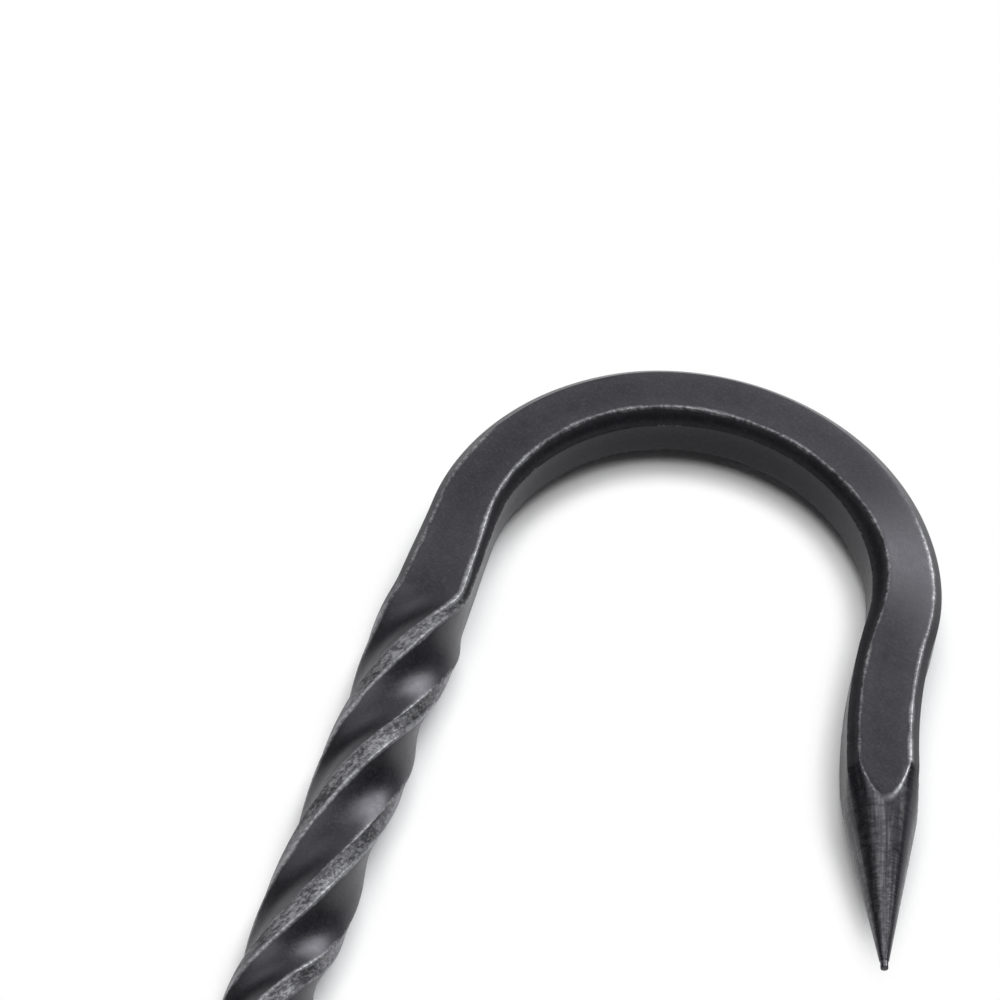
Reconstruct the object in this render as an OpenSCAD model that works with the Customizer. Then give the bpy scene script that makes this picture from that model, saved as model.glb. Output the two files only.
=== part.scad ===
// S hook of bevelled square bar: a twisted shank with a pointed bow at each end, lying flat.
// The shank runs along Y through the origin, and Z = 0 is the surface that it lies on.
// The two ends are one shape, turned half a turn about Z.

/* [Bar] */
// Width of the square bar across its flats, in the bows
bar_w = 6; // [4:0.5:8]
// Leg of the bevel along each long edge of the bar
bevel = 1.1; // [0.5:0.1:1.6]

/* [Shank] */
// How much wider the bar is where it is twisted, left full while the bows were drawn down
twist_extra = 0.6; // [0.1:0.1:1]
// Length of the twisted stretch
twist_len = 86; // [50:1:130]
// Quarter turns in the twisted stretch
quarter_turns = 6; // [2:1:10]
// Plain bar between the twist and each bow, over which the extra width dies away
plain_len = 10; // [4:0.5:20]

/* [Bow] */
// Inside radius of the shoulder, where the shank opens into the bow
shoulder_inner_r = 18.4; // [14:0.1:26]
// How far the shoulder turns, in degrees
shoulder_turn = 46; // [20:1:60]
// Inside radius of the crown, where a load hangs
crown_inner_r = 16.5; // [12:0.1:24]
// How far the crown turns, in degrees
crown_turn = 132; // [115:1:140]
// Centre line radius of the outward bend before the point
flare_r = 55; // [25:1:90]
// How far the outward bend turns back, in degrees
flare_turn = 15; // [5:1:25]

/* [Point] */
// Straight bar between the outward bend and the turned point
neck_len = 1.7; // [1:0.1:6]
// Length of the turned point, from its first cut in the bar's corners to its tip
point_len = 19.5; // [12:0.5:26]
// Diameter of the blunt tip
tip_d = 0.7; // [0.4:0.1:1.5]

/* [Hidden] */
$fn = 96;
half_w = bar_w / 2;
shoulder_r = shoulder_inner_r + half_w;
crown_r = crown_inner_r + half_w;
// The crown is the full bar. The shoulder and flare are a hair thinner, and straight bar thinner
// again, and each thinner length laps into the thicker one that it meets.
curve_thin = 0.02;
straight_thin = 0.04;
shank_thin = straight_thin - twist_extra / 2;
lap = 0.05;
// Half width of the bar, and of the flat between its bevels, when drawn in by thin on every side.
// A thin below 0 makes the bar wider.
function side_at(thin) = half_w - thin;
function flat_at(thin) = half_w - bevel - thin * tan(22.5);
// Radius that the bar's corner edges lie on
function corner_at(thin) = norm([side_at(thin), flat_at(thin)]);
// The twist sweeps its corners round the shank, and the hook lies on them
axis_z = corner_at(shank_thin);
point_slope = (corner_at(straight_thin) - tip_d / 2) / point_len;
slice_turn = 5;
section_sides = 8;
iron = [0.15, 0.15, 0.16];

// Cross-section of the bar: a square with bevelled corners
module bar_section(thin = 0) {
    side = side_at(thin);
    flat = flat_at(thin);
    polygon([
        [side, -flat], [side, flat], [flat, side], [-flat, side],
        [-side, flat], [-side, -flat], [-flat, -side], [flat, -side]
    ]);
}

// Straight bar along +Y
module straight(length, thin = straight_thin) {
    rotate([-90, 0, 0])
        linear_extrude(length)
            bar_section(thin);
}

// Plain bar that narrows from the twist's width to the bow's, with what follows placed at its end
module narrowing(length, lap_out) {
    hull() {
        straight(lap, thin = shank_thin);
        translate([0, length, 0])
            straight(lap_out);
    }
    translate([0, length, 0])
        children();
}

// Bar bent flat about Z: a positive turn goes to +X, a negative one to -X
module bend(radius, turn, thin = 0, lap_in = 0, lap_out = 0) {
    side = sign(turn);
    lap_in_turn = lap_in / radius * 180 / PI;
    lap_out_turn = lap_out / radius * 180 / PI;
    first = side > 0 ? 180 - turn - lap_out_turn : -lap_in_turn;
    translate([side * radius, 0, 0]) {
        rotate_extrude(angle = lap_in_turn + abs(turn) + lap_out_turn, start = first)
            translate([radius, 0])
                bar_section(thin);
        rotate([0, 0, -turn])
            translate([-side * radius, 0, 0])
                children();
    }
}

// Neck and point: the bevelled bar turned down to a cone, which leaves a scallop on each flat
module point() {
    length = lap + neck_len + point_len;
    translate([0, -lap, 0])
        intersection() {
            straight(length);
            rotate([-90, 0, 0])
                cylinder(h = length, r1 = tip_d / 2 + point_slope * length, r2 = tip_d / 2);
        }
}

// Half of the hook from the end of the twist on
module pointed_bow() {
    color(iron)
        translate([0, twist_len / 2, 0])
            narrowing(plain_len, lap_out = lap)
                bend(shoulder_r, shoulder_turn, thin = curve_thin, lap_out = lap)
                    bend(crown_r, crown_turn)
                        bend(flare_r, -flare_turn, thin = curve_thin, lap_in = lap)
                            point();
}

// Stretch with a right-hand twist, whose section is level at both ends
module twisted_shank() {
    twist = 90 * quarter_turns;
    color(iron)
        rotate([-90, 0, 0])
            translate([0, 0, -twist_len / 2])
                linear_extrude(
                    twist_len,
                    twist = -twist,
                    slices = ceil(twist / slice_turn),
                    segments = section_sides
                )
                    bar_section(shank_thin);
}

module s_hook() {
    translate([0, 0, axis_z]) {
        twisted_shank();
        for (turn = [0, 180])
            rotate([0, 0, turn])
                pointed_bow();
    }
}

s_hook();
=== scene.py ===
import math

import bpy
import numpy as np
from bpy.props import FloatProperty, FloatVectorProperty, IntProperty, PointerProperty
from mathutils import Matrix, Vector


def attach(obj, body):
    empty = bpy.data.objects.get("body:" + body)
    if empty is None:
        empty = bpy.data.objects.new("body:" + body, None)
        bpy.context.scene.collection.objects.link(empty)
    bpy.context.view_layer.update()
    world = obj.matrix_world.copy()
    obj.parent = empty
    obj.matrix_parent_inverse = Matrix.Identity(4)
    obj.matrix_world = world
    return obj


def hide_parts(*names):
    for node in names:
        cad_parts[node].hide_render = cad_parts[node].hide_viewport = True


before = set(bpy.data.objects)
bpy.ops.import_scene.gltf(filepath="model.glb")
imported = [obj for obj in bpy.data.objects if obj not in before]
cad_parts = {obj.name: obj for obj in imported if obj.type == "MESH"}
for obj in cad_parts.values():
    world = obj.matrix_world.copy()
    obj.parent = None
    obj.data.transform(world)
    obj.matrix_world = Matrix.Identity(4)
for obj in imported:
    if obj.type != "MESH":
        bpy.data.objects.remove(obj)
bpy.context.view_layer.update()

# An S hook forged from bevelled square bar: a twisted shank that runs out into a plain bow at each
# end, each bow closing with a turned point. Lengths are in metres and angles in radians.

bl_info = {
    "name": "Forged S Hook",
    "version": (1, 0, 0),
    "blender": (4, 5, 0),
    "location": "View3D > Sidebar > S Hook",
    "description": "Forges an S hook of bevelled square bar and sets it on a pale studio floor",
    "category": "Add Mesh",
}

NODE = "s_hook"
FACES = 4
SIDES = 2 * FACES
SIDE_TURN = math.tau / SIDES

# Spacing of the sections in the bar and in the points, and how far before the point's first cut and
# before its nub they start to stand closer
BAR_STEP, POINT_STEP = 0.00042, 0.00016
BEFORE_CUT, BEFORE_NUB = 0.0004, 0.0003
# Sections in the nub and in the tip's rounded end
NUB_SECTIONS, ROUND_SECTIONS = 16, 6
# Steps across a face and across a bevel, and points round an edge
FACE_STEPS, BEVEL_STEPS, EDGE_POINTS = 10, 5, 6
# Length of the tip's rounded end, the step above the nub, and the length over which that is eased
ROUND_END, NUB_STEP, NUB_EASE = 0.00008, 0.00007, 0.00012
# How much narrower the shoulder was drawn
SHOULDER_DRAW = 0.0001
# Share of its leg that the inner bevel lacks on the top face of the crown
CROWN_STEEPER = 0.33
# How softly the cone of the point meets the bar's faces, and how far before its first cut it begins
CUT_SOFTNESS, CUT_LEAD = 0.00005, 0.003
FLOOR_RADIUS, FLOOR_RINGS, FLOOR_SPOKES = 4.0, 24, 96


class BarSizes(bpy.types.PropertyGroup):
    """The bar that the hook is forged from, and its twisted shank."""

    width: FloatProperty(
        name="Bar width", description="Width of the square bar across its flats",
        default=0.006, min=0.004, max=0.008, unit="LENGTH", subtype="DISTANCE",
    )
    bevel: FloatProperty(
        name="Bevel", description="Leg of the bevel along each long edge",
        default=0.0011, min=0.0005, max=0.0016, unit="LENGTH", subtype="DISTANCE",
    )
    edge_radius: FloatProperty(
        name="Edge radius", description="Rounding that use has left on the bevels' edges",
        default=0.00016, min=0.00005, max=0.0004, unit="LENGTH", subtype="DISTANCE",
    )
    twist_length: FloatProperty(
        name="Twist length", description="Length of the twisted stretch of the shank",
        default=0.086, min=0.05, max=0.13, unit="LENGTH", subtype="DISTANCE",
    )
    quarter_turns: IntProperty(
        name="Quarter turns", description="Quarter turns in the twisted stretch",
        default=6, min=2, max=10,
    )
    twist_extra: FloatProperty(
        name="Twist extra", description="How much wider the bar is where it is twisted",
        default=0.00052, min=0.0, max=0.0006, unit="LENGTH", subtype="DISTANCE",
    )
    neck_extra: FloatProperty(
        name="Neck extra", description="How much wider the bar is towards the points",
        default=0.0004, min=0.0, max=0.0006, unit="LENGTH", subtype="DISTANCE",
    )
    slack: FloatProperty(
        name="Slack", description="How much the rate of twist changes along the shank",
        default=0.30, min=0.0, max=0.4,
    )
    run_out: FloatProperty(
        name="Run out", description="Length over which the twist dies away into plain bar",
        default=0.003, min=0.0005, max=0.008, unit="LENGTH", subtype="DISTANCE",
    )
    bend_tilt: FloatProperty(
        name="Bend tilt", description="How far the top face falls towards the outside of the bends",
        default=math.radians(1.0), min=0.0, max=math.radians(8), subtype="ANGLE",
    )
    end_tilt: FloatProperty(
        name="End tilt", description="How much further it falls where the crown ends",
        default=math.radians(7.0), min=0.0, max=math.radians(10), subtype="ANGLE",
    )
    dish: FloatProperty(
        name="Dish", description="How far the middle of each face sinks where the bar is twisted",
        default=0.00012, min=0.0, max=0.0005, unit="LENGTH", subtype="DISTANCE",
    )
    unevenness: FloatProperty(
        name="Unevenness", description="How far the hammer has left the faces out of true",
        default=0.00003, min=0.0, max=0.0003, unit="LENGTH", subtype="DISTANCE",
    )


class BowSizes(bpy.types.PropertyGroup):
    """The plain bow at each end of the shank, and its turned point."""

    plain_length: FloatProperty(
        name="Plain length", description="Plain bar between the twist and the shoulder",
        default=0.010, min=0.004, max=0.02, unit="LENGTH", subtype="DISTANCE",
    )
    shoulder_radius: FloatProperty(
        name="Shoulder radius", description="Centre line radius where the shank opens into the bow",
        default=0.0214, min=0.017, max=0.029, unit="LENGTH", subtype="DISTANCE",
    )
    shoulder_turn: FloatProperty(
        name="Shoulder turn", description="How far the shoulder turns",
        default=math.radians(46), min=math.radians(20), max=math.radians(60), subtype="ANGLE",
    )
    crown_radius: FloatProperty(
        name="Crown radius", description="Centre line radius of the crown, where a load hangs",
        default=0.0195, min=0.015, max=0.027, unit="LENGTH", subtype="DISTANCE",
    )
    crown_turn: FloatProperty(
        name="Crown turn", description="How far the crown turns",
        default=math.radians(132), min=math.radians(115), max=math.radians(140), subtype="ANGLE",
    )
    flare_radius: FloatProperty(
        name="Flare radius", description="Centre line radius of the outward bend before the point",
        default=0.055, min=0.025, max=0.09, unit="LENGTH", subtype="DISTANCE",
    )
    flare_turn: FloatProperty(
        name="Flare turn", description="How far the outward bend turns back",
        default=math.radians(15), min=math.radians(5), max=math.radians(25), subtype="ANGLE",
    )
    neck_length: FloatProperty(
        name="Neck length", description="Straight bar between the outward bend and the point",
        default=0.0017, min=0.001, max=0.006, unit="LENGTH", subtype="DISTANCE",
    )
    point_length: FloatProperty(
        name="Point length", description="Length of the turned point, from its first cut to its tip",
        default=0.0195, min=0.012, max=0.026, unit="LENGTH", subtype="DISTANCE",
    )
    tip_radius: FloatProperty(
        name="Tip radius", description="Radius of the blunt nub at the very tip",
        default=0.00035, min=0.0002, max=0.0008, unit="LENGTH", subtype="DISTANCE",
    )
    nub_length: FloatProperty(
        name="Nub length", description="Length of the straight nub at the very tip",
        default=0.0008, min=0.0003, max=0.002, unit="LENGTH", subtype="DISTANCE",
    )


class IronFinish(bpy.types.PropertyGroup):
    """The black scale on the iron, and the brighter metal that wear has brought out, whose colour also
    paints the highlight along the edges and down the points.
    """

    scale_dark: FloatVectorProperty(
        name="Dark scale", description="Colour of the darkest scale",
        default=(0.0010, 0.0009, 0.0014), size=3, min=0.0, max=1.0, subtype="COLOR",
    )
    scale_pale: FloatVectorProperty(
        name="Pale scale", description="Colour of the palest scale",
        default=(0.011, 0.010, 0.014), size=3, min=0.0, max=1.0, subtype="COLOR",
    )
    # Also the colour of the painted highlight along the edges and on the points.
    worn_and_highlight: FloatVectorProperty(
        name="Worn iron", description="Colour of the iron where handling has rubbed the scale away",
        default=(0.36, 0.36, 0.37), size=3, min=0.0, max=1.0, subtype="COLOR",
    )
    # The bright line along each edge is partly rubbed bare iron and partly painted highlight; these two
    # values set both.
    edge_width: FloatProperty(
        name="Worn edge width", description="Width of the bright line along each edge",
        default=0.00050, min=0.0001, max=0.001, unit="LENGTH", subtype="DISTANCE",
    )
    edge_amount: FloatProperty(
        name="Edge wear", description="How much of each edge is rubbed bright",
        default=0.75, min=0.0, max=1.0, subtype="FACTOR",
    )
    ridge_amount: FloatProperty(
        name="Ridge wear", description="How much of each twisted ridge is rubbed bright",
        default=0.55, min=0.0, max=1.0, subtype="FACTOR",
    )
    ring_pitch: FloatProperty(
        name="Ring pitch", description="Spacing of the tool marks round the points",
        default=0.00034, min=0.0001, max=0.001, unit="LENGTH", subtype="DISTANCE",
    )


class StageSizes(bpy.types.PropertyGroup):
    """The pale floor, the lamps and the camera."""

    floor: FloatVectorProperty(
        name="Floor", description="Colour of the floor and of the sweep behind it",
        default=(0.86, 0.86, 0.87), size=3, min=0.0, max=1.0, subtype="COLOR",
    )
    ambient: FloatProperty(
        name="Ambient light", description="Strength of the plain light from all round",
        default=0.06, min=0.0, max=1.0,
    )
    shadow_reach: FloatProperty(
        name="Shadow reach", description="How far from the hook the floor still shows its shadow",
        default=0.0035, min=0.001, max=0.1, unit="LENGTH", subtype="DISTANCE",
    )
    elevation: FloatProperty(
        name="Camera elevation", description="Angle of the camera above the floor",
        default=math.radians(50.77), min=0.0, max=math.radians(90), subtype="ANGLE",
    )
    azimuth: FloatProperty(
        name="Camera azimuth", description="Turn of the camera about the hook, from its lower end",
        default=math.radians(8.78), min=-math.pi, max=math.pi, subtype="ANGLE",
    )
    roll: FloatProperty(
        name="Camera roll", description="Turn of the camera about its own line of sight",
        default=math.radians(10.58), min=-math.pi, max=math.pi, subtype="ANGLE",
    )
    distance: FloatProperty(
        name="Camera distance", description="Distance from the camera to the point that it looks at",
        default=1.0204, min=0.3, max=4.0, unit="LENGTH", subtype="DISTANCE",
    )
    target: FloatVectorProperty(
        name="Camera target", description="Point on the floor that the camera looks at",
        default=(0.00175, 0.06041, 0.0), size=3, unit="LENGTH", subtype="XYZ",
    )
    lens: FloatProperty(
        name="Lens", description="Focal length of the camera in millimetres",
        default=415.0, min=50.0, max=800.0,
    )


def smooth_step(value):
    """Eases 0 to 1 as value goes from 0 to 1: three times its square less twice its cube."""
    value = np.clip(value, 0.0, 1.0)
    return value * value * (3.0 - 2.0 * value)


def swell(along, middle, reach):
    """1 at the middle, easing to 0 at a distance of reach along the bar on either side."""
    return 1.0 - smooth_step(np.abs(along - middle) / reach)


def eased(place, *knots):
    """A value along the bar that eases from each (place, value) knot to the next."""
    at, value = np.array(knots).T
    step = np.clip(np.searchsorted(at, place, side="right") - 1, 0, len(at) - 2)
    share = smooth_step((place - at[step]) / (at[step + 1] - at[step]))
    return value[step] + (value[step + 1] - value[step]) * share


def wander(along, rows, seed, shortest, longest):
    """Slow random waves along the bar, one row each: the mean of eight sines whose wavelengths run
    from the longest to the shortest, each with a seeded phase."""
    dice = np.random.default_rng(seed)
    lengths = np.geomspace(longest, shortest, 8)
    phase = dice.uniform(0.0, math.tau, (rows, len(lengths)))
    weight = dice.uniform(0.4, 1.0, (rows, len(lengths)))
    wave = np.sin(math.tau * along[:, None, None] / lengths + phase)
    return (wave * weight).sum(axis=2) / math.sqrt(len(lengths))


def half_length(bar, bow):
    """Length of the centre line from the middle of the shank to a tip."""
    return (
        bar.twist_length / 2 + bow.plain_length + bow.shoulder_radius * bow.shoulder_turn
        + bow.crown_radius * bow.crown_turn + bow.flare_radius * bow.flare_turn
        + bow.neck_length + bow.point_length
    )


def stations(bar, bow):
    """Places along the centre line where a section stands, from tip to tip and 0 at the middle. They
    stand closer in the points than in the bar, and closest at the tips, which are rounded."""
    end = half_length(bar, bow)
    cut = end - bow.point_length - BEFORE_CUT
    nub = end - bow.nub_length - BEFORE_NUB
    bar_part = np.linspace(0.0, cut, math.ceil(cut / BAR_STEP) + 1)
    point_part = np.linspace(cut, nub, math.ceil((nub - cut) / POINT_STEP) + 1)[1:]
    nub_part = np.linspace(nub, end - ROUND_END, NUB_SECTIONS)[1:]
    quarter = np.linspace(0.0, math.pi / 2, ROUND_SECTIONS)
    round_part = end - ROUND_END * (1.0 - np.sin(quarter))[1:]
    half = np.concatenate([bar_part, point_part, nub_part, round_part])
    return np.concatenate([-half[:0:-1], half])


def centre_line(bar, bow, along):
    """The heading's turn from +Y and the position at each place along the bar. The heading turns evenly
    through each bend, and the position adds up the steps along it. The lower half is the upper half
    turned half round, so its heading is the same and its position is the negative."""
    knots = np.cumsum([
        0.0, bar.twist_length / 2 + bow.plain_length, bow.shoulder_radius * bow.shoulder_turn,
        bow.crown_radius * bow.crown_turn, bow.flare_radius * bow.flare_turn,
        bow.neck_length + bow.point_length,
    ])
    turned = bow.shoulder_turn + bow.crown_turn
    headings = [0.0, 0.0, bow.shoulder_turn, turned, turned - bow.flare_turn, turned - bow.flare_turn]
    half = along[len(along) // 2:]
    middle = np.interp((half[1:] + half[:-1]) / 2, knots, headings)
    step = np.diff(half)[:, None] * np.stack([np.sin(middle), np.cos(middle)], axis=1)
    place = np.concatenate([np.zeros((1, 2)), np.cumsum(step, axis=0)])
    place = np.concatenate([-place[:0:-1], place])
    return np.interp(np.abs(along), knots, headings), place


def crown_start(bar, bow):
    """Distance along the centre line from the middle of the shank to the start of the crown."""
    return bar.twist_length / 2 + bow.plain_length + bow.shoulder_radius * bow.shoulder_turn


def in_twist(bar, along, beyond, fade):
    """1 in the twist, easing to 0 over the length of the fade, which ends at a distance beyond it."""
    return smooth_step((bar.twist_length / 2 + beyond - np.abs(along)) / fade)


def twist_angle(bar, along):
    """How far the bar is turned about its centre line. The rate of turn wanders a little, tighter at
    the middle and at the ends, and dies away over the run out. Its sum gives the whole number of
    quarter turns."""
    share = np.abs(along) / (bar.twist_length / 2)
    tighter = eased(
        share, (0.0, 1.3), (0.08, 0.2), (0.16, -0.6), (0.45, -0.6), (0.56, 0.1), (0.8, 0.1), (1.0, 0.3),
    )
    rate = (1.0 + bar.slack * tighter) * in_twist(bar, along, bar.run_out / 2, bar.run_out)
    turn = np.concatenate([[0.0], np.cumsum((rate[1:] + rate[:-1]) / 2 * np.diff(along))])
    turn -= turn[len(turn) // 2]
    return turn / turn[-1] * bar.quarter_turns * math.pi / 4


def section_columns():
    """The points round a section, as arrays: the side that each point is on, the share of the way along
    that side or round the corner after it, and 1 on a side or 0 on a corner. Even sides are the bar's
    four faces, and odd sides are its bevels."""
    face = np.linspace(0.0, 1.0, FACE_STEPS + 1)[1:-1]
    bevel = np.linspace(0.0, 1.0, BEVEL_STEPS + 1)[1:-1]
    edge = np.linspace(0.0, 1.0, EDGE_POINTS)
    counts = np.array([len(face), len(edge), len(bevel), len(edge)])
    share = np.tile(np.concatenate([face, edge, bevel, edge]), FACES)
    on_flat = np.tile(np.repeat([1.0, 0.0, 1.0, 0.0], counts), FACES)
    side = np.repeat(np.arange(SIDES), np.tile(counts[0::2] + counts[1::2], FACES))
    return side, share, on_flat


def forged_width(bar, past):
    """Width of the bar across its flats at a distance past the start of the crown: widest where it is
    twisted, narrower where it is bent, and wider again towards the point."""
    twist = bar.twist_extra * eased(past, (-0.0275, 1.0), (-0.0165, 0.0))
    shoulder = SHOULDER_DRAW * eased(past, (-0.0172, 0.0), (-0.010, -1.0), (0.0, -1.0), (0.006, 0.0))
    neck = bar.neck_extra * eased(past, (0.034, 0.0), (0.045, 0.8), (0.061, 1.0))
    return bar.width + twist + shoulder + neck


def bevel_legs(bar, past):
    """Legs of the outer and the inner bevels, which the hammer has left wider and narrower in turn."""
    outer = eased(
        past, (-0.034, 1.02), (-0.026, 0.56), (-0.016, 0.56), (-0.004, 0.72), (0.012, 0.90),
        (0.034, 1.0), (0.050, 0.74),
    )
    inner = eased(
        past, (-0.036, 1.02), (-0.0275, 0.60), (-0.022, 0.66), (-0.014, 0.88), (0.008, 1.2),
        (0.034, 1.0), (0.052, 0.86),
    )
    return bar.bevel * outer, bar.bevel * inner


def section_lines(bar, along, past):
    """The eight straight lines round the section at every station, as two arrays: how far each leans
    from its even place, and how far it is from the centre. A face is at half the width, and a bevel at
    the width less its leg over the square root of two. The top and bottom faces fall towards the
    outside of the bends. In the crown, the bevel between the top face and the inner wall is steeper,
    with a shorter leg on the top face."""
    lean = np.zeros((len(along), SIDES))
    tilt = bar.bend_tilt * swell(past, 0.015, 0.035) + bar.end_tilt * swell(past, 0.038, 0.012)
    lean[:, 0], lean[:, 4] = tilt, -tilt
    width = forged_width(bar, past)
    outer, inner = bevel_legs(bar, past)
    reach = np.empty((len(along), SIDES))
    reach[:, 0::2] = width[:, None] / 2
    reach[:, [1, 3]] = (width - outer)[:, None] / math.sqrt(2)
    reach[:, [5, 7]] = (width - inner)[:, None] / math.sqrt(2)
    top_leg = inner * (1.0 - CROWN_STEEPER * swell(past, 0.017, 0.020))
    steeper = SIDE_TURN - np.arctan2(top_leg, inner)
    steep = ((top_leg + inner) * width / 2 - top_leg * inner) / np.hypot(top_leg, inner)
    for side, half in ((7, 1), (5, -1)):
        here = along * half > 0
        lean[:, side] = np.where(here, -half * steeper, 0.0)
        reach[:, side] = np.where(here, steep, reach[:, side])
    uneven = wander(along, rows=SIDES, seed=11, shortest=0.020, longest=0.090)
    return lean, reach - bar.unevenness * (0.5 + 0.5 * uneven)


def bar_section(bar, along, past):
    """The bar's section at every station, in the plane across it, before it is twisted. Its edges are
    rounded by drawing the eight lines in by the radius and pushing the result out again, and each face
    sinks in its middle where the bar is twisted. The second result is the distance round the section
    from the nearest edge, above 0 on a bevel and below 0 on a face."""
    lean, reach = section_lines(bar, along, past)
    uneven = wander(along, rows=1, seed=5, shortest=0.012, longest=0.060)[:, 0]
    radius = bar.edge_radius * (1.0 + 0.2 * uneven)
    drawn = reach - radius[:, None]
    onward = np.roll(drawn, -1, axis=1)
    start = np.arange(SIDES) * SIDE_TURN + lean
    opening = SIDE_TURN + np.roll(lean, -1, axis=1) - lean
    across = (onward - drawn * np.cos(opening)) / np.sin(opening)
    corner = np.stack([
        drawn * np.cos(start) - across * np.sin(start),
        drawn * np.sin(start) + across * np.cos(start),
    ], axis=2)

    side, share, on_flat = section_columns()
    share = share[None, :, None]
    flat = on_flat[None, :, None]
    from_corner = corner[:, side - 1]
    to_corner = corner[:, side]
    base = np.where(flat > 0, from_corner + (to_corner - from_corner) * share, to_corner)
    facing = start[:, side] + opening[:, side] * np.where(on_flat > 0, 0.0, share[0, :, 0])
    out = np.stack([np.cos(facing), np.sin(facing)], axis=2)
    face = (side % 2 == 0)[None, :, None]
    twisted = in_twist(bar, along, beyond=0.001, fade=0.003)[:, None, None]
    sink = bar.dish * twisted * flat * face * (1.0 - (2.0 * share - 1.0) ** 2) ** 2
    points = base + out * (radius[:, None, None] - sink)

    width = np.linalg.norm(to_corner - from_corner, axis=2)
    share = share[..., 0]
    radius = radius[:, None]
    on_face = np.minimum(share, 1.0 - share) * width + radius * SIDE_TURN / 2
    on_face = np.where(face[..., 0], -on_face, on_face)
    on_edge = radius * (share - 0.5) * SIDE_TURN * np.where(face[..., 0], 1.0, -1.0)
    return points, np.where(flat[..., 0] > 0, on_face, on_edge)


def edge_wear_and_highlight(bar, along, past):
    """How bright a line each of the eight edges carries at every station, from 0 to 1: partly rubbed
    bare iron and partly painted highlight, set higher where light catches an edge. Edge 0 of the upper
    half is the outer edge of the top face, 6 is the upper edge of the inner wall and 7 is the inner
    edge of the top face. The lower half is the upper half turned half round, so its edges run the other
    way."""
    # Outside the twist these amounts are partly painted highlight. They are higher where light catches
    # an edge, as on the outer edge from the crown's end to the point, and nil along most of the crown's
    # outer edge.
    top_outer = eased(
        past, (-0.030, 0.6), (-0.012, 0.55), (-0.004, 0.0), (0.029, 0.0), (0.036, 0.8), (0.061, 0.8),
    )
    wall_upper = eased(past, (-0.030, 0.6), (-0.014, 0.4), (-0.004, 0.12), (0.025, 0.10), (0.040, 0.3))
    top_inner = eased(
        past, (-0.030, 1.0), (-0.012, 1.0), (-0.004, 0.66), (0.018, 0.68), (0.028, 0.6), (0.035, 0.45),
        (0.040, 0.38), (0.047, 0.45), (0.061, 0.40),
    )
    outer_low, inner_low = np.full_like(past, 0.2), np.full_like(past, 0.1)
    plain = np.stack([
        top_outer, outer_low, outer_low, top_outer, top_inner, inner_low, wall_upper, top_inner,
    ], axis=1)
    ridge = np.tile([1.0, 0.5], FACES)
    upper = plain + (ridge - plain) * in_twist(bar, along, beyond=0.0, fade=0.006)[:, None]
    share = smooth_step(along / 0.012 + 0.5)[:, None]
    return upper * share + upper[:, (3 - np.arange(SIDES)) % SIDES] * (1.0 - share)


def point_radius(bar, bow, to_tip):
    """Radius of the turned point at a distance from its tip: a straight cone from the corners of the
    bar down to a short straight nub, with a small step above the nub and a rounded end."""
    half = (bar.width + bar.neck_extra) / 2
    shoulder = bow.tip_radius + NUB_STEP
    slope = (math.hypot(half, half - bar.bevel) - shoulder) / (bow.point_length - bow.nub_length)
    cone = shoulder + slope * (to_tip - bow.nub_length)
    nub = bow.tip_radius
    radius = nub + (cone - nub) * smooth_step((to_tip - bow.nub_length) / NUB_EASE + 0.5)
    fall = np.clip(1.0 - to_tip / ROUND_END, 0.0, 1.0)
    closing = np.clip(to_tip / (ROUND_END / 4), 0.02, 1.0)
    return radius * np.sqrt(1.0 - 0.6 * fall * fall) * np.sqrt(closing)


def hook_surface(bar, bow):
    """The whole hook as a grid of points, stations along it and columns round it: the section at each
    station is turned by the twist, cut back to the point's radius with a soft minimum, and carried
    along the centre line, with its own right-hand side and +Z as the axes. Its lowest point is at
    0, the floor. The fields hold, for each point, the distance from the nearest edge, that edge's wear
    and painted highlight, how far the bar stood out past the cone, how far it is in the twist, and its
    place on a plain round bar."""
    along = stations(bar, bow)
    end = along[-1]
    heading, place = centre_line(bar, bow, along)
    past = np.abs(along) - crown_start(bar, bow)
    section, edge = bar_section(bar, along, past)
    reach = np.linalg.norm(section, axis=2)
    about = np.arctan2(section[..., 1], section[..., 0])
    skin = np.stack([
        np.cos(about) * bar.width / 2, np.sin(about) * bar.width / 2,
        np.repeat(along[:, None], about.shape[1], axis=1),
    ], axis=2)
    side, share, on_flat = section_columns()
    nearest = np.where((on_flat > 0) & (share < 0.5), side - 1, side) % SIDES
    # Each point takes its nearest edge's wear and painted highlight.
    wear = edge_wear_and_highlight(bar, along, past)[:, nearest]
    cone = point_radius(bar, bow, end - np.abs(along))[:, None]
    past_cut = reach - cone
    kept = (reach + cone - np.sqrt(past_cut * past_cut + CUT_SOFTNESS * CUT_SOFTNESS)) / 2
    near_point = smooth_step((np.abs(along)[:, None] - (end - bow.point_length - CUT_LEAD)) / CUT_LEAD)
    kept = reach + (kept - reach) * near_point
    section = section * (kept / reach)[..., None]

    turn = -twist_angle(bar, along)[:, None]
    right = section[..., 0] * np.cos(turn) - section[..., 1] * np.sin(turn)
    up = section[..., 0] * np.sin(turn) + section[..., 1] * np.cos(turn)
    right_hand = np.stack([np.cos(heading), -np.sin(heading)], axis=1)[:, None]
    flat = place[:, None] + right_hand * right[..., None]
    points = np.concatenate([flat, (up - up.min())[..., None]], axis=2)
    twisted = in_twist(bar, along, beyond=0.0015, fade=0.003)
    fields = {
        "edge_gap": edge, "edge_wear_and_highlight": wear, "past_cut": np.maximum(past_cut, -bar.width / 2),
        "twisted": np.repeat(twisted[:, None], points.shape[1], axis=1), "skin_place": skin,
    }
    return points, fields


def ring_quads(first, last, columns):
    """The faces that join each ring of points to the next, from the first ring to the last."""
    row = np.arange(first, last)[:, None] * columns
    here = np.arange(columns)[None]
    onward = (here + 1) % columns
    return np.stack([row + here, row + columns + here, row + columns + onward, row + onward], axis=2)


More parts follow.
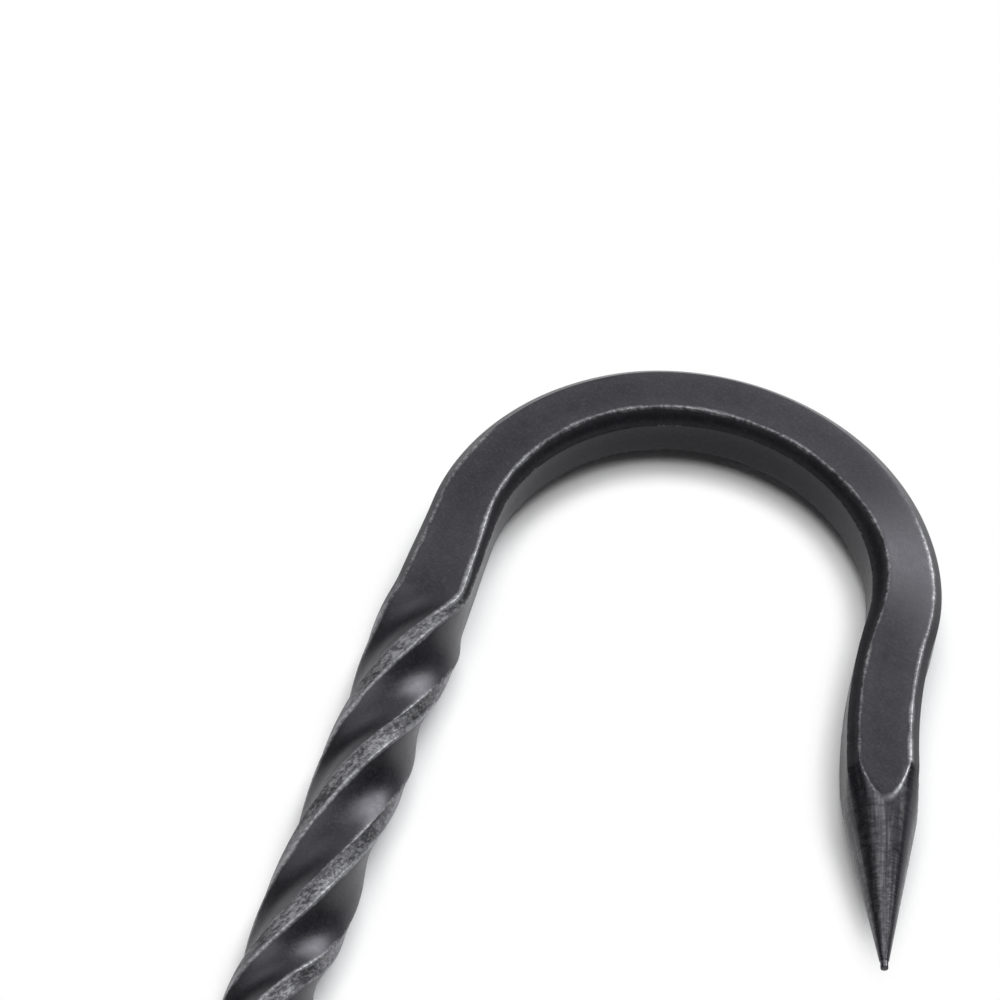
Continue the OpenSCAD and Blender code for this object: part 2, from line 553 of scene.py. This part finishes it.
def closed_tube(name, points, fields):
    """A mesh of the grid of points, closed round the section and by a pole at either end. Its faces
    join each station to the next, and each field is kept as an attribute."""
    rows, columns = points.shape[:2]
    poles = points[[0, -1]].mean(axis=1)
    vertices = np.concatenate([points.reshape(-1, 3), poles])
    quads = ring_quads(0, rows - 1, columns)
    first_pole, last_pole = rows * columns, rows * columns + 1
    last = (rows - 1) * columns
    ring = np.arange(columns)
    after = (ring + 1) % columns
    start_fan = np.stack([np.full(columns, first_pole), ring, after], axis=1)
    end_fan = np.stack([np.full(columns, last_pole), last + after, last + ring], axis=1)

    mesh = bpy.data.meshes.new(name)
    corners = np.concatenate([quads.reshape(-1), start_fan.reshape(-1), end_fan.reshape(-1)])
    count = np.concatenate([np.full(quads.shape[0] * quads.shape[1], 4), np.full(2 * columns, 3)])
    start = np.concatenate([[0], np.cumsum(count)[:-1]])
    mesh.vertices.add(len(vertices))
    mesh.vertices.foreach_set("co", vertices.reshape(-1).astype(np.float32))
    mesh.loops.add(len(corners))
    mesh.loops.foreach_set("vertex_index", corners.astype(np.int32))
    mesh.polygons.add(len(count))
    mesh.polygons.foreach_set("loop_start", start.astype(np.int32))
    mesh.polygons.foreach_set("loop_total", count.astype(np.int32))
    mesh.update(calc_edges=True)

    for field, value in fields.items():
        value = value.reshape(rows, columns, -1)
        kept = np.concatenate([value.reshape(rows * columns, -1), value[[0, -1]].mean(axis=1)])
        kind, slot = ("FLOAT_VECTOR", "vector") if kept.shape[1] == 3 else ("FLOAT", "value")
        holder = mesh.attributes.new(field, kind, "POINT")
        holder.data.foreach_set(slot, kept.reshape(-1).astype(np.float32))
    mesh.polygons.foreach_set("use_smooth", np.ones(len(count), dtype=bool))
    if mesh.validate():
        raise RuntimeError(name + " has faces that Blender had to mend")
    return mesh


def face_outward(mesh):
    """Turns the faces of a closed mesh outward, if its volume comes out below 0."""
    mesh.calc_loop_triangles()
    triangles = np.empty(len(mesh.loop_triangles) * 3, dtype=np.int32)
    mesh.loop_triangles.foreach_get("vertices", triangles)
    vertices = np.empty(len(mesh.vertices) * 3, dtype=np.float32)
    mesh.vertices.foreach_get("co", vertices)
    a, b, c = vertices.reshape(-1, 3)[triangles.reshape(-1, 3)].astype(float).transpose(1, 0, 2)
    if np.einsum("ij,ij->", a, np.cross(b, c)) < 0:
        mesh.flip_normals()


def put(tree, kind, inputs=None, **options):
    """Adds a node. Options are its own settings, and inputs maps a socket's name or place to a value or
    to another node's output."""
    made = tree.nodes.new(kind)
    for name, value in options.items():
        setattr(made, name, value)
    for name, value in (inputs or {}).items():
        if isinstance(value, bpy.types.NodeSocket):
            tree.links.new(value, made.inputs[name])
        else:
            made.inputs[name].default_value = value
    return made


def figure(tree, operation, *values, clamp=False):
    """The output of a Math node."""
    inputs = dict(enumerate(values))
    return put(tree, "ShaderNodeMath", inputs, operation=operation, use_clamp=clamp).outputs[0]


def between(tree, value, low, high, to_low=0.0, to_high=1.0):
    """The value eased from one range to the other, and held at its ends."""
    inputs = {"Value": value, "From Min": low, "From Max": high, "To Min": to_low, "To Max": to_high}
    made = put(tree, "ShaderNodeMapRange", inputs, interpolation_type="SMOOTHSTEP")
    return made.outputs["Result"]


def tint(tree, share, first, second):
    """The first colour turning into the second as the share goes from 0 to 1."""
    made = put(tree, "ShaderNodeMix", {0: share, 6: first, 7: second}, data_type="RGBA")
    return made.outputs[2]


def noise(tree, place, scale, detail=2.0, roughness=0.5):
    """Cloudy noise of one size, from 0 to 1."""
    inputs = {"Vector": place, "Scale": scale, "Detail": detail, "Roughness": roughness}
    return put(tree, "ShaderNodeTexNoise", inputs).outputs["Fac"]


def stretched(tree, place, across, along):
    """A place with its parts across the bar and along it multiplied. A pattern that reads it is drawn
    out where the factor is below 1."""
    inputs = {0: place, 1: (across, across, along)}
    return put(tree, "ShaderNodeVectorMath", inputs, operation="MULTIPLY").outputs[0]


def product(tree, *factors):
    """The factors multiplied together."""
    result = factors[0]
    for factor in factors[1:]:
        result = figure(tree, "MULTIPLY", result, factor)
    return result


def blend(tree, first, share, second):
    """A share of the first value and the rest of the second."""
    return figure(tree, "MULTIPLY_ADD", first, share, product(tree, second, 1.0 - share))


def carried(tree, name, output="Fac"):
    """A field that the mesh carries."""
    return put(tree, "ShaderNodeAttribute", attribute_name=name).outputs[output]


def bare_material(name):
    """A new material without nodes, and its tree."""
    material = bpy.data.materials.new(name)
    material.use_nodes = True
    material.node_tree.nodes.clear()
    return material, material.node_tree


def group(name, ins, outs):
    """An empty node group with its sockets, its input node's outputs and its output node's inputs."""
    tree = bpy.data.node_groups.new(name, "ShaderNodeTree")
    for label, kind, value in ins:
        socket = tree.interface.new_socket(label, in_out="INPUT", socket_type=kind)
        if value is not None:
            socket.default_value = value
    for label, kind in outs:
        tree.interface.new_socket(label, in_out="OUTPUT", socket_type=kind)
    return tree, tree.nodes.new("NodeGroupInput").outputs, tree.nodes.new("NodeGroupOutput").inputs


def use(tree, effect, inputs):
    """The outputs of a node group, set to work in a tree with its inputs."""
    return put(tree, "ShaderNodeGroup", inputs, node_tree=effect).outputs


VALUE, POSITION = "NodeSocketFloat", "NodeSocketVector"


def scale_grain():
    """Mottling of forge scale: broad clouds, a middling mottle and a fine speckle. Tone runs from dark
    to pale scale, and Height is the same skin as a relief."""
    tree, given, result = group(
        "scale_grain",
        [("Place", POSITION, None), ("Clouds", VALUE, 0.4), ("Speckle", VALUE, 0.6)],
        [("Tone", VALUE), ("Height", VALUE)],
    )
    clouds = noise(tree, given["Place"], scale=130.0, detail=3.0, roughness=0.55)
    mottle = noise(tree, given["Place"], scale=900.0, detail=3.0, roughness=0.65)
    speckle = noise(tree, given["Place"], scale=4800.0, roughness=0.7)
    broad = product(tree, figure(tree, "SUBTRACT", clouds, 0.5), given["Clouds"])
    fine = figure(tree, "SUBTRACT", blend(tree, speckle, 0.65, mottle), 0.5)
    fine = product(tree, fine, given["Speckle"])
    tone = figure(tree, "ADD", figure(tree, "ADD", broad, fine), 0.5, clamp=True)
    tree.links.new(tone, result["Tone"])
    tree.links.new(blend(tree, mottle, 0.7, speckle), result["Height"])
    return tree


def rubbed_highlight_line():
    """A bright line where a distance is near 0: rubbed bare iron and, along the edges, painted
    highlight. Noise widens and narrows it and breaks it up, and
    Amount sets how wide and how bare and bright it is."""
    tree, given, result = group(
        "rubbed_highlight_line",
        [
            ("Place", POSITION, None), ("Distance", VALUE, 0.0), ("Width", VALUE, 0.0003),
            ("Amount", VALUE, 0.7),
        ],
        [("Mask", VALUE)],
    )
    amount = given["Amount"]
    drift = noise(tree, given["Place"], scale=300.0, roughness=0.6)
    nicks = noise(tree, given["Place"], scale=2600.0, detail=3.0, roughness=0.7)
    spread = product(
        tree, given["Width"], between(tree, drift, 0.36, 0.64, to_low=0.75, to_high=1.2),
        figure(tree, "MULTIPLY_ADD", amount, 0.6, 0.4),
    )
    away = figure(tree, "DIVIDE", figure(tree, "ABSOLUTE", given["Distance"]), spread)
    line = between(tree, away, 0.0, 1.0, to_low=1.0, to_high=0.0)
    uneven = figure(tree, "SUBTRACT", blend(tree, drift, 0.5, nicks), 0.5)
    bare = figure(tree, "MULTIPLY_ADD", uneven, 1.6, amount)
    mask = product(tree, line, between(tree, bare, 0.05, 0.95))
    nicked = between(tree, nicks, 0.38, 0.62, to_low=0.6, to_high=1.1)
    tree.links.new(figure(tree, "MULTIPLY", mask, nicked, clamp=True), result["Mask"])
    return tree


def tool_rings():
    """Marks left by the turning tool, and a painted highlight. Crest is a wave along the bar whose
    spacing wanders and which noise breaks up, Streak is a fine grain drawn out along the bar, and the
    third
    output is a painted highlight: lighter streaks along the points in line with the bar's four faces,
    where light catches the cone, and darker in line with its corners."""
    tree, given, result = group(
        "tool_rings",
        [("Skin", POSITION, None), ("Pitch", VALUE, 0.0003)],
        [("Crest", VALUE), ("Streak", VALUE), ("Painted_Highlight", VALUE)],
    )
    skin = given["Skin"]
    across, up, along = put(tree, "ShaderNodeSeparateXYZ", {0: skin}).outputs
    wobble = noise(tree, stretched(tree, skin, 0.12, 1.0), scale=1500.0, roughness=0.6)
    turns = figure(tree, "DIVIDE", figure(tree, "MULTIPLY_ADD", wobble, 0.0005, along), given["Pitch"])
    wave = figure(tree, "SINE", product(tree, turns, math.tau))
    strength = between(tree, noise(tree, skin, scale=1300.0, roughness=0.6), 0.35, 0.65)
    crest = figure(tree, "MULTIPLY_ADD", product(tree, wave, strength), 0.5, 0.5)
    tree.links.new(crest, result["Crest"])

    drawn = stretched(tree, skin, 1.0, 0.07)
    tree.links.new(noise(tree, drawn, scale=1300.0, detail=3.0, roughness=0.7), result["Streak"])

    shift = product(tree, figure(tree, "SIGN", along), -0.2)
    about = figure(tree, "MULTIPLY_ADD", figure(tree, "ARCTAN2", up, across), float(FACES), shift)
    # Painted highlight: lighter streaks round the cone in line with the bar's faces, where light
    # catches it, and darker in line with its corners.
    painted_highlight = between(tree, figure(tree, "COSINE", about), -0.95, 0.0, to_low=0.25, to_high=1.0)
    blotch = noise(tree, stretched(tree, skin, 0.4, 1.0), scale=2400.0, roughness=0.6)
    blotch = between(tree, blotch, 0.38, 0.62, to_low=0.5, to_high=1.3)
    tree.links.new(product(tree, painted_highlight, blotch), result["Painted_Highlight"])
    return tree


def rubbed_highlight_edges(tree, place, edge, wear, cut, on_bar, finish):
    """How bright the iron is along the bar's edges and round the scallops that the points' cones leave
    in
    its faces: rubbed bare iron and painted highlight together. A faint painted sheen lies beside each
    edge, lighter towards it, and flecks lie all over."""
    # The edge lines are rubbed bare iron and painted highlight.
    line = rubbed_highlight_line()
    long_edges = use(tree, line, {
        "Place": place, "Distance": edge, "Width": finish.edge_width,
        "Amount": product(tree, wear, finish.edge_amount),
    })["Mask"]
    scallops = use(tree, line, {
        "Place": place, "Distance": cut, "Width": finish.edge_width * 0.22,
        "Amount": between(tree, wear, 0.5, 0.9, to_low=0.4, to_high=1.1),
    })["Mask"]
    on_face = between(tree, edge, 0.0, -0.0003)
    fainter = between(tree, edge, -0.0024, -0.0010, to_low=0.25, to_high=1.0)
    scallops = product(tree, scallops, on_face, fainter)
    worn_and_highlight = figure(tree, "MAXIMUM", product(tree, long_edges, on_bar), scallops)

    # Painted sheen: faces and bevels are painted lighter towards each edge, where light catches the
    # rounded edge.
    painted_sheen = between(tree, edge, -0.0016, 0.0, to_low=0.0, to_high=0.030)
    painted_sheen = figure(tree, "MULTIPLY_ADD", between(tree, edge, 0.0, 0.0002), 0.04, painted_sheen)
    painted_sheen = product(tree, painted_sheen, between(tree, edge, 0.0009, 0.0001))
    speckle = noise(tree, place, scale=3600.0, roughness=0.7)
    flecks = figure(tree, "MULTIPLY_ADD", between(tree, speckle, 0.46, 0.74), 0.034, painted_sheen)
    return figure(tree, "MAXIMUM", worn_and_highlight, product(tree, flecks, on_bar))


def rubbed_ridges(tree, skin, edge, twisted, finish):
    """How bare the iron is on the bevels of the twist, in patches, and the rough relief left there."""
    on_bevel = product(tree, between(tree, edge, -0.0001, 0.00035), twisted)
    drawn = stretched(tree, skin, 1.0, 0.5)
    rough_skin = noise(tree, drawn, scale=3800.0, detail=3.0, roughness=0.7)
    patches = noise(tree, drawn, scale=520.0, roughness=0.6)
    bare = between(tree, blend(tree, rough_skin, 0.6, patches), 0.42, 0.60, to_low=0.10, to_high=1.0)
    return product(tree, bare, on_bevel, finish.ridge_amount), product(tree, rough_skin, on_bevel)


def turning_marks(tree, skin, cut, turned, finish):
    """How bright the iron is on the turned points, from the tool marks and from a painted highlight in
    streaks along them, and the relief of the rings, which fade away from the tips."""
    rings = use(tree, tool_rings(), {"Skin": skin, "Pitch": finish.ring_pitch})
    crest = product(tree, rings["Crest"], between(tree, cut, 0.0004, 0.0022, to_low=0.25, to_high=1.0))
    marks = figure(tree, "MULTIPLY_ADD", between(tree, rings["Streak"], 0.38, 0.66), 0.26, 0.03)
    marks = figure(tree, "MULTIPLY_ADD", crest, 0.10, marks)
    # The marks are multiplied by the painted highlight streaks.
    return product(tree, marks, rings["Painted_Highlight"], turned), product(tree, crest, turned)


def black_iron(finish):
    """Black forge scale with rubbed edges, rubbed ridges along the twist and turned points, with
    painted highlight along the edges and in streaks down the points.
    """
    material, tree = bare_material("black_iron")
    place = put(tree, "ShaderNodeTexCoord").outputs["Object"]
    skin = carried(tree, "skin_place", output="Vector")
    # The edges' wear and painted highlight, carried by the mesh.
    edge, wear = carried(tree, "edge_gap"), carried(tree, "edge_wear_and_highlight")
    cut, twisted = carried(tree, "past_cut"), carried(tree, "twisted")
    turned = between(tree, cut, -0.00004, 0.00004)
    on_bar = figure(tree, "SUBTRACT", 1.0, turned)

    grain = use(tree, scale_grain(), {"Place": place, "Clouds": 0.9, "Speckle": 2.4})
    edges = rubbed_highlight_edges(tree, place, edge, wear, cut, on_bar, finish)
    ridges, ridge_relief = rubbed_ridges(tree, skin, edge, twisted, finish)
    marks, ring_relief = turning_marks(tree, skin, cut, turned, finish)
    # Bare iron and painted highlight together: the edges and the points' streaks hold painted
    # highlight, and the ridges hold wear.
    worn_and_highlight = figure(tree, "MAXIMUM", figure(tree, "MAXIMUM", edges, ridges), marks)

    tone = grain["Tone"]
    scale_colour = tint(tree, tone, (*finish.scale_dark, 1.0), (*finish.scale_pale, 1.0))
    colour = tint(tree, worn_and_highlight, scale_colour, (*finish.worn_and_highlight, 1.0))
    rough = figure(tree, "MULTIPLY_ADD", tone, 0.16, 0.28)
    rough = figure(tree, "MULTIPLY_ADD", worn_and_highlight, 0.05, rough)
    rough = figure(tree, "MULTIPLY_ADD", turned, -0.07, rough)
    height = figure(tree, "MULTIPLY_ADD", ridge_relief, 2.4, grain["Height"])
    height = figure(tree, "MULTIPLY_ADD", ring_relief, 0.7, height)
    bump = put(tree, "ShaderNodeBump", {"Strength": 0.35, "Distance": 0.00004, "Height": height})
    shader = put(tree, "ShaderNodeBsdfPrincipled", {
        "Base Color": colour, "Roughness": rough, "Metallic": product(tree, worn_and_highlight, 0.55),
        "Normal": bump.outputs["Normal"], "IOR": 1.42, "Specular Tint": (0.93, 0.90, 1.0, 1.0),
    })
    put(tree, "ShaderNodeOutputMaterial", {"Surface": shader.outputs[0]})
    return material


def floor_finish(stage):
    """A pale matt floor. The camera and reflections see it white, and it keeps the hook's shadow as far
    as the shadow's reach."""
    material, tree = bare_material("studio_floor")
    path = put(tree, "ShaderNodeLightPath").outputs
    seen = figure(tree, "ADD", path["Is Camera Ray"], path["Is Glossy Ray"])
    seen = figure(tree, "ADD", seen, path["Is Transmission Ray"], clamp=True)
    plain = put(tree, "ShaderNodeBsdfDiffuse", {"Color": (*stage.floor, 1.0)})
    shaded = put(tree, "ShaderNodeBsdfDiffuse", {"Color": (1.0, 1.0, 1.0, 1.0)})
    white = put(tree, "ShaderNodeEmission", {"Color": (1.0, 1.0, 1.0, 1.0), "Strength": 1.0})
    clear = put(tree, "ShaderNodeAmbientOcclusion", {"Distance": stage.shadow_reach}, samples=8)
    clear = product(tree, between(tree, clear.outputs["AO"], 0.62, 0.97), path["Is Camera Ray"])
    pale = put(tree, "ShaderNodeMixShader", {0: clear, 1: shaded.outputs[0], 2: white.outputs[0]})
    mixed = put(tree, "ShaderNodeMixShader", {0: seen, 1: plain.outputs[0], 2: pale.outputs[0]})
    put(tree, "ShaderNodeOutputMaterial", {"Surface": mixed.outputs[0]})
    return material


def studio_floor():
    """A level round floor: rings whose radius grows with the square of their number, round a fan."""
    radius = FLOOR_RADIUS * np.linspace(0.0, 1.0, FLOOR_RINGS) ** 2
    around = np.linspace(0.0, math.tau, FLOOR_SPOKES + 1)[:-1]
    points = np.stack([
        radius[:, None] * np.cos(around), radius[:, None] * np.sin(around),
        np.zeros((FLOOR_RINGS, FLOOR_SPOKES)),
    ], axis=2)
    ring = np.arange(FLOOR_SPOKES)
    after = (ring + 1) % FLOOR_SPOKES
    fan = np.stack([np.zeros_like(ring), FLOOR_SPOKES + ring, FLOOR_SPOKES + after], axis=1)
    quads = ring_quads(1, FLOOR_RINGS - 1, FLOOR_SPOKES)
    mesh = bpy.data.meshes.new("studio_floor")
    faces = fan.tolist() + quads.reshape(-1, 4).tolist()
    mesh.from_pydata(points.reshape(-1, 3).tolist(), [], faces)
    mesh.polygons.foreach_set("use_smooth", np.ones(len(mesh.polygons), dtype=bool))
    mesh.update()
    return mesh


# Each lamp's name, place, size, power in watts and colour
SOFTBOXES = (
    ("back_softbox", (-0.36, 1.05, 0.80), (1.15, 0.85), 2.5, (1.0, 1.0, 1.0)),
    ("bright_softbox", (0.38, 1.05, 0.70), (0.62, 0.50), 12.0, (0.96, 0.98, 1.0)),
    ("top_softbox", (0.0, 0.0, 1.2), (0.9, 0.9), 8.5, (1.0, 1.0, 1.0)),
    ("left_softbox", (-0.75, 0.70, 1.10), (0.7, 0.7), 3.0, (1.0, 1.0, 1.0)),
)


def softbox(name, place, size, power, colour, target):
    """A square lamp at a place, turned towards a target."""
    lamp = bpy.data.lights.new(name, "AREA")
    lamp.shape = "RECTANGLE"
    lamp.size, lamp.size_y = size
    lamp.energy = power
    lamp.color = colour
    holder = bpy.data.objects.new(name, lamp)
    holder.location = place
    look = Vector(target) - Vector(place)
    holder.rotation_euler = look.to_track_quat("-Z", "Y").to_euler()
    return holder


def studio_light(stage):
    """A world of plain even light."""
    world = bpy.data.worlds.new("studio")
    world.use_nodes = True
    tree = world.node_tree
    tree.nodes.clear()
    inputs = {"Color": (0.95, 0.97, 1.0, 1.0), "Strength": stage.ambient}
    sky = put(tree, "ShaderNodeBackground", inputs)
    put(tree, "ShaderNodeOutputWorld", {"Surface": sky.outputs[0]})
    return world


def studio_camera(stage):
    """The camera, at its distance from the target along a line of sight set by its azimuth and
    elevation, and rolled about that line."""
    camera = bpy.data.cameras.new("camera")
    camera.lens = stage.lens
    camera.sensor_width = 36.0
    camera.clip_start = 0.01
    camera.clip_end = 20.0
    holder = bpy.data.objects.new("camera", camera)
    back = Vector((
        math.cos(stage.elevation) * math.sin(stage.azimuth),
        -math.cos(stage.elevation) * math.cos(stage.azimuth),
        math.sin(stage.elevation),
    ))
    right = Vector((math.cos(stage.azimuth), math.sin(stage.azimuth), 0.0))
    axes = Matrix((right, back.cross(right), back)).transposed()
    axes = axes @ Matrix.Rotation(stage.roll, 3, "Z")
    place = Vector(stage.target) + back * stage.distance
    holder.matrix_world = Matrix.Translation(place) @ axes.to_4x4()
    return holder


class S_HOOK_OT_forge(bpy.types.Operator):
    """Forge the hook as one closed surface with its iron finish"""

    bl_idname = "s_hook.forge"
    bl_label = "Forge Hook"

    def execute(self, context):
        scene = context.scene
        bar, bow, finish = scene.s_hook_bar, scene.s_hook_bow, scene.s_hook_finish
        points, fields = hook_surface(bar, bow)
        mesh = closed_tube("forged_hook", points, fields)
        face_outward(mesh)
        hook = bpy.data.objects.new("forged_hook", mesh)
        scene.collection.objects.link(hook)
        mesh.materials.append(black_iron(finish))
        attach(hook, "root")
        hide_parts(NODE)
        return {"FINISHED"}


class S_HOOK_OT_stage(bpy.types.Operator):
    """Lay the pale floor, hang the lamps and stand the camera"""

    bl_idname = "s_hook.stage"
    bl_label = "Set Stage"

    def execute(self, context):
        scene = context.scene
        stage = scene.s_hook_stage
        floor = bpy.data.objects.new("studio_floor", studio_floor())
        floor.data.materials.append(floor_finish(stage))
        scene.collection.objects.link(floor)
        scene.world = studio_light(stage)
        for name, place, size, power, colour in SOFTBOXES:
            scene.collection.objects.link(softbox(name, place, size, power, colour, stage.target))
        scene.camera = studio_camera(stage)
        scene.collection.objects.link(scene.camera)
        scene.view_settings.view_transform = "Standard"
        return {"FINISHED"}


class S_HOOK_PT_panel(bpy.types.Panel):
    """The hook's sizes, its finish and its stage"""

    bl_label = "Forged S Hook"
    bl_idname = "S_HOOK_PT_panel"
    bl_space_type = "VIEW_3D"
    bl_region_type = "UI"
    bl_category = "S Hook"

    def draw(self, context):
        scene = context.scene
        groups = [
            ("Bar", scene.s_hook_bar), ("Bow", scene.s_hook_bow),
            ("Finish", scene.s_hook_finish), ("Stage", scene.s_hook_stage),
        ]
        for title, values in groups:
            box = self.layout.box()
            box.label(text=title)
            for name in values.bl_rna.properties.keys():
                if name not in {"rna_type", "name"}:
                    box.prop(values, name)
        self.layout.operator(S_HOOK_OT_forge.bl_idname)
        self.layout.operator(S_HOOK_OT_stage.bl_idname)


CLASSES = (
    BarSizes, BowSizes, IronFinish, StageSizes, S_HOOK_OT_forge, S_HOOK_OT_stage, S_HOOK_PT_panel,
)
VALUES = {
    "s_hook_bar": BarSizes, "s_hook_bow": BowSizes, "s_hook_finish": IronFinish,
    "s_hook_stage": StageSizes,
}


def register():
    for item in CLASSES:
        bpy.utils.register_class(item)
    for name, kind in VALUES.items():
        setattr(bpy.types.Scene, name, PointerProperty(type=kind))


def unregister():
    for name in VALUES:
        delattr(bpy.types.Scene, name)
    for item in reversed(CLASSES):
        bpy.utils.unregister_class(item)


def main():
    """Makes the hook and its stage."""
    register()
    bpy.ops.s_hook.forge()
    bpy.ops.s_hook.stage()


if __name__ == "__main__":
    main()
